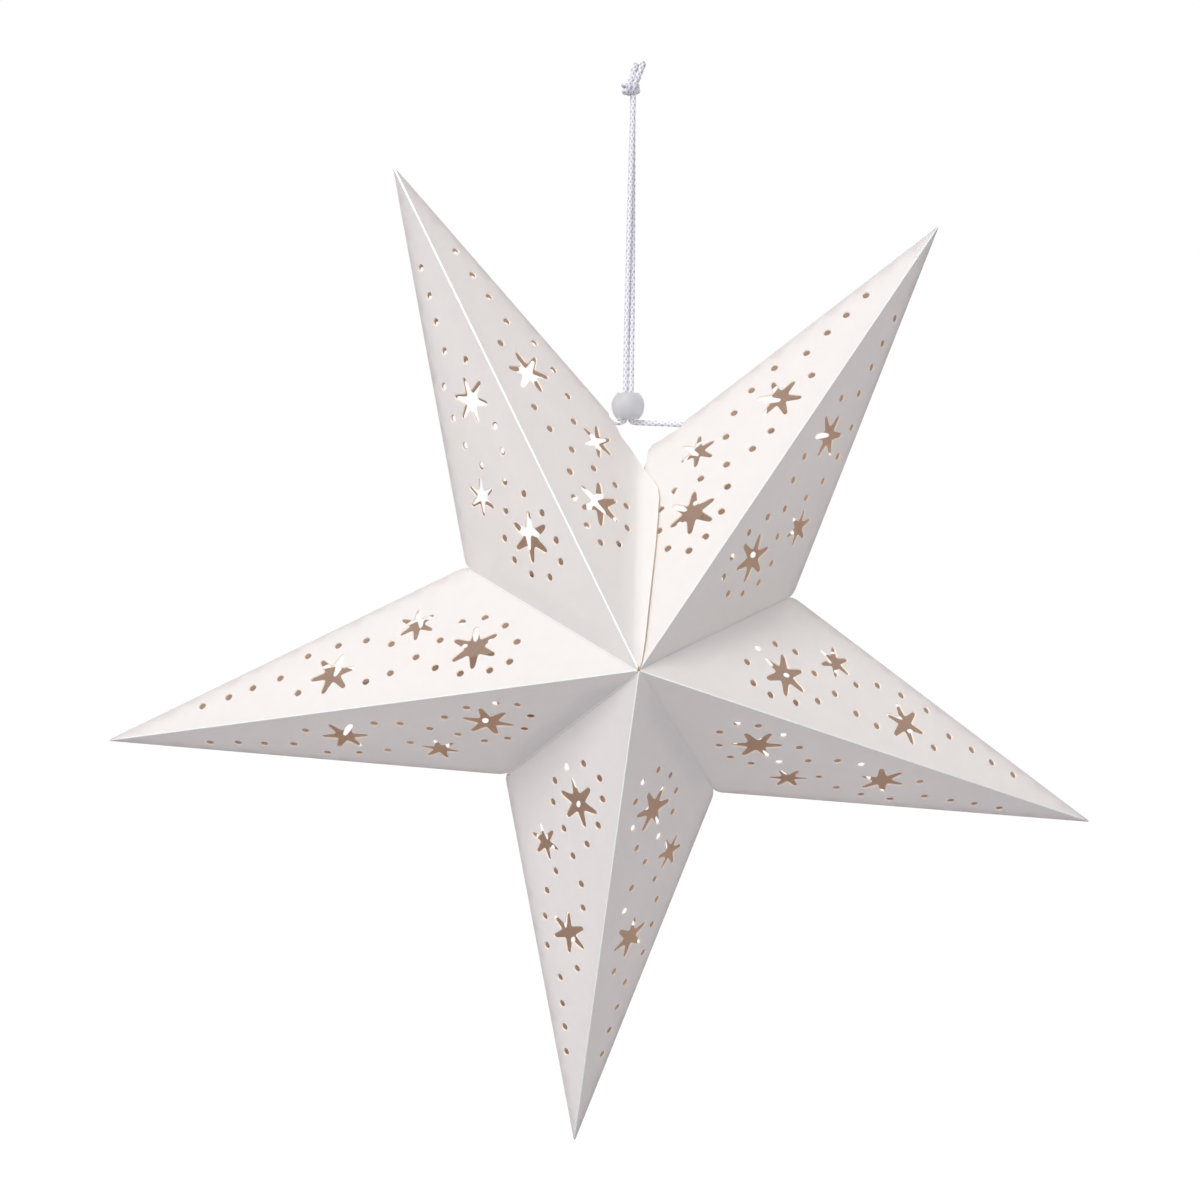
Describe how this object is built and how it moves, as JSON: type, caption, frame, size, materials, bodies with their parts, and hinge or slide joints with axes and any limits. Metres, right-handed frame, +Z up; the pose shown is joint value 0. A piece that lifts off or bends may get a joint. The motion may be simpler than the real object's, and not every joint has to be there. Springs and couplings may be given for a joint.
{
  "type": "led star light",
  "caption": "Folded white card star light with punched star and dot cut-outs, hung by a doubled braided cord through a frosted bead, with a small battery lamp inside.",
  "frame": {"origin": "the hanging loop: the crotch of the doubled cord just under its knot", "axes": "+Z up along the cord, -Y towards the viewer of the star's front, +X to that viewer's right"},
  "size_m": [0.5711, 0.1902, 0.6251],
  "materials": {
    "card": "matte, kraft inside",
    "cord": "braided",
    "bead": "frosted, translucent",
    "case_shell": "matte",
    "switch_black": "matte",
    "steel": "bright wire",
    "contact": "plated",
    "cell_label": "gloss sleeve",
    "board": "white solder mask",
    "led": "phosphor",
    "wire": "sleeve",
    "globe": "opal"
  },
  "bodies": {
    "cord": {"cord_left": "cord", "cord_right": "cord", "cord_inner": "cord", "cord_knot": "cord", "cord_tails": "cord"},
    "bead": {"bead": "bead"},
    "arm_2_front_left": {"arm_2_front_left": "card"},
    "arm_2_back_left": {"arm_2_back_left": "card"},
    "arm_2_front_right": {"arm_2_front_right": "card"},
    "arm_2_back_right": {"arm_2_back_right": "card"},
    "arm_3_front_left": {"arm_3_front_left": "card", "glue_flap_front_2_3": "card"},
    "arm_3_back_left": {"arm_3_back_left": "card", "glue_flap_back_2_3": "card"},
    "arm_3_front_right": {"arm_3_front_right": "card"},
    "arm_3_back_right": {"arm_3_back_right": "card"},
    "arm_4_front_left": {"arm_4_front_left": "card", "glue_flap_front_3_4": "card"},
    "arm_4_back_left": {"arm_4_back_left": "card", "glue_flap_back_3_4": "card"},
    "arm_4_front_right": {"arm_4_front_right": "card"},
    "arm_4_back_right": {"arm_4_back_right": "card"},
    "arm_5_front_left": {"arm_5_front_left": "card", "glue_flap_front_4_5": "card"},
    "arm_5_back_left": {"arm_5_back_left": "card", "glue_flap_back_4_5": "card"},
    "arm_5_front_right": {"arm_5_front_right": "card"},
    "arm_5_back_right": {"arm_5_back_right": "card"},
    "arm_1_front_left": {"arm_1_front_left": "card", "glue_flap_front_5_1": "card"},
    "arm_1_back_left": {"arm_1_back_left": "card", "glue_flap_back_5_1": "card"},
    "arm_1_front_right": {"arm_1_front_right": "card", "seam_lap_front": "card"},
    "arm_1_back_right": {"arm_1_back_right": "card", "seam_lap_back": "card"},
    "lamp": {"lamp_ring": "steel", "battery_case": "case_shell", "battery_cover": "case_shell", "cover_screw": "steel", "cell_1": "cell_label", "cell_2": "cell_label", "cell_3": "cell_label", "contact_springs": "steel", "contact_plates": "contact", "switch_body": "switch_black", "lamp_base": "case_shell", "led_board": "board", "leds": "led", "board_chip": "switch_black", "board_screws": "steel", "lamp_wires": "wire", "globe": "globe"},
    "switch_knob": {"switch_slider": "switch_black"}
  },
  "joints": [
    {"name": "seam_edge_fold", "type": "hinge", "parent": "cord", "child": "arm_2_front_left", "pos_m": [0.17634, 0, -0.06726], "axis": [-0.7852, 0, -0.6192], "range_deg": [0, 12.73]},
    {"name": "ridge_fold_2", "type": "hinge", "parent": "arm_2_front_left", "child": "arm_2_front_right", "pos_m": [0, -0.096, -0.30996], "axis": [0.5598, 0.3048, 0.7705], "range_deg": [0, 26]},
    {"name": "valley_fold_2_3", "type": "hinge", "parent": "arm_2_front_right", "child": "arm_3_front_left", "pos_m": [0, -0.096, -0.30996], "axis": [-0.6971, -0.6854, -0.2105], "range_deg": [0, 25.29]},
    {"name": "ridge_fold_3", "type": "hinge", "parent": "arm_3_front_left", "child": "arm_3_front_right", "pos_m": [0, -0.096, -0.30996], "axis": [0.8927, 0.3048, -0.332], "range_deg": [0, 26]},
    {"name": "valley_fold_3_4", "type": "hinge", "parent": "arm_3_front_right", "child": "arm_4_front_left", "pos_m": [0, -0.096, -0.30996], "axis": [-0.3902, -0.6854, 0.6148], "range_deg": [0, 25.29]},
    {"name": "ridge_fold_4", "type": "hinge", "parent": "arm_4_front_left", "child": "arm_4_front_right", "pos_m": [0, -0.096, -0.30996], "axis": [-0.0797, 0.3048, -0.9491], "range_deg": [0, 26]},
    {"name": "valley_fold_4_5", "type": "hinge", "parent": "arm_4_front_right", "child": "arm_5_front_left", "pos_m": [0, -0.096, -0.30996], "axis": [0.4873, -0.6854, 0.5412], "range_deg": [0, 25.29]},
    {"name": "ridge_fold_5", "type": "hinge", "parent": "arm_5_front_left", "child": "arm_5_front_right", "pos_m": [0, -0.096, -0.30996], "axis": [-0.9356, 0.3048, -0.1785], "range_deg": [0, 26]},
    {"name": "valley_fold_5_1", "type": "hinge", "parent": "arm_5_front_right", "child": "arm_1_front_left", "pos_m": [0, -0.096, -0.30996], "axis": [0.6523, -0.6854, -0.3238], "range_deg": [0, 25.29]},
    {"name": "ridge_fold_1", "type": "hinge", "parent": "arm_1_front_left", "child": "arm_1_front_right", "pos_m": [0, -0.096, -0.30996], "axis": [-0.4235, 0.3048, 0.8531], "range_deg": [0, 26]},
    {"name": "edge_fold_2_left", "type": "hinge", "parent": "arm_2_front_left", "child": "arm_2_back_left", "pos_m": [0.17634, 0, -0.06726], "axis": [0.7852, 0, 0.6192], "range_deg": [0, 25.41]},
    {"name": "edge_fold_2_right", "type": "hinge", "parent": "arm_2_front_right", "child": "arm_2_back_right", "pos_m": [0.17634, 0, -0.06726], "axis": [-0.3462, 0, -0.9382], "range_deg": [0, 25.41]},
    {"name": "edge_fold_3_left", "type": "hinge", "parent": "arm_3_front_left", "child": "arm_3_back_left", "pos_m": [0.28118, 0, -0.41453], "axis": [0.8075, 0, -0.5898], "range_deg": [0, 25.41]},
    {"name": "edge_fold_3_right", "type": "hinge", "parent": "arm_3_front_right", "child": "arm_3_back_right", "pos_m": [0.28118, 0, -0.41453], "axis": [-0.9967, 0, 0.0812], "range_deg": [0, 25.41]},
    {"name": "edge_fold_4_left", "type": "hinge", "parent": "arm_4_front_left", "child": "arm_4_back_left", "pos_m": [-0.0251, 0, -0.60891], "axis": [-0.3509, 0, -0.9364], "range_deg": [0, 25.41]},
    {"name": "edge_fold_4_right", "type": "hinge", "parent": "arm_4_front_right", "child": "arm_4_back_right", "pos_m": [-0.0251, 0, -0.60891], "axis": [-0.1898, 0, 0.9818], "range_deg": [0, 25.41]},
    {"name": "edge_fold_5_left", "type": "hinge", "parent": "arm_5_front_left", "child": "arm_5_back_left", "pos_m": [-0.29469, 0, -0.36618], "axis": [-0.9963, 0, 0.0862], "range_deg": [0, 25.41]},
    {"name": "edge_fold_5_right", "type": "hinge", "parent": "arm_5_front_right", "child": "arm_5_back_right", "pos_m": [-0.29469, 0, -0.36618], "axis": [0.8946, 0, 0.4469], "range_deg": [0, 25.41]},
    {"name": "edge_fold_1_left", "type": "hinge", "parent": "arm_1_front_left", "child": "arm_1_back_left", "pos_m": [-0.13339, 0, -0.04125], "axis": [-0.1849, 0, 0.9828], "range_deg": [0, 25.41]},
    {"name": "edge_fold_1_right", "type": "hinge", "parent": "arm_1_front_right", "child": "arm_1_back_right", "pos_m": [-0.13339, 0, -0.04125], "axis": [0.671, 0, -0.7415], "range_deg": [0, 25.41]},
    {"name": "bead_slide", "type": "slide", "parent": "cord", "child": "bead", "axis": [0, 0, 1], "range_m": [0, 0.14]},
    {"name": "lamp_swing", "type": "hinge", "parent": "cord", "child": "lamp", "pos_m": [0, 0, -0.25796], "axis": [1, 0, 0], "range_deg": [-20, 20]},
    {"name": "switch_slide", "type": "slide", "parent": "lamp", "child": "switch_knob", "axis": [0, 0, 1], "range_m": [0, 0.004]}
  ],
  "couplings": [
    {"joint": "seam_edge_fold", "follows": "ridge_fold_2", "ratio": 0.48765},
    {"joint": "valley_fold_2_3", "follows": "ridge_fold_2", "ratio": 0.9706},
    {"joint": "ridge_fold_3", "follows": "ridge_fold_2", "ratio": 1},
    {"joint": "valley_fold_3_4", "follows": "ridge_fold_2", "ratio": 0.9706},
    {"joint": "ridge_fold_4", "follows": "ridge_fold_2", "ratio": 1},
    {"joint": "valley_fold_4_5", "follows": "ridge_fold_2", "ratio": 0.9706},
    {"joint": "ridge_fold_5", "follows": "ridge_fold_2", "ratio": 1},
    {"joint": "valley_fold_5_1", "follows": "ridge_fold_2", "ratio": 0.9706},
    {"joint": "ridge_fold_1", "follows": "ridge_fold_2", "ratio": 1},
    {"joint": "edge_fold_2_left", "follows": "ridge_fold_2", "ratio": 0.9753},
    {"joint": "edge_fold_2_right", "follows": "ridge_fold_2", "ratio": 0.9753},
    {"joint": "edge_fold_3_left", "follows": "ridge_fold_2", "ratio": 0.9753},
    {"joint": "edge_fold_3_right", "follows": "ridge_fold_2", "ratio": 0.9753},
    {"joint": "edge_fold_4_left", "follows": "ridge_fold_2", "ratio": 0.9753},
    {"joint": "edge_fold_4_right", "follows": "ridge_fold_2", "ratio": 0.9753},
    {"joint": "edge_fold_5_left", "follows": "ridge_fold_2", "ratio": 0.9753},
    {"joint": "edge_fold_5_right", "follows": "ridge_fold_2", "ratio": 0.9753},
    {"joint": "edge_fold_1_left", "follows": "ridge_fold_2", "ratio": 0.9753},
    {"joint": "edge_fold_1_right", "follows": "ridge_fold_2", "ratio": 0.9753}
  ]
}
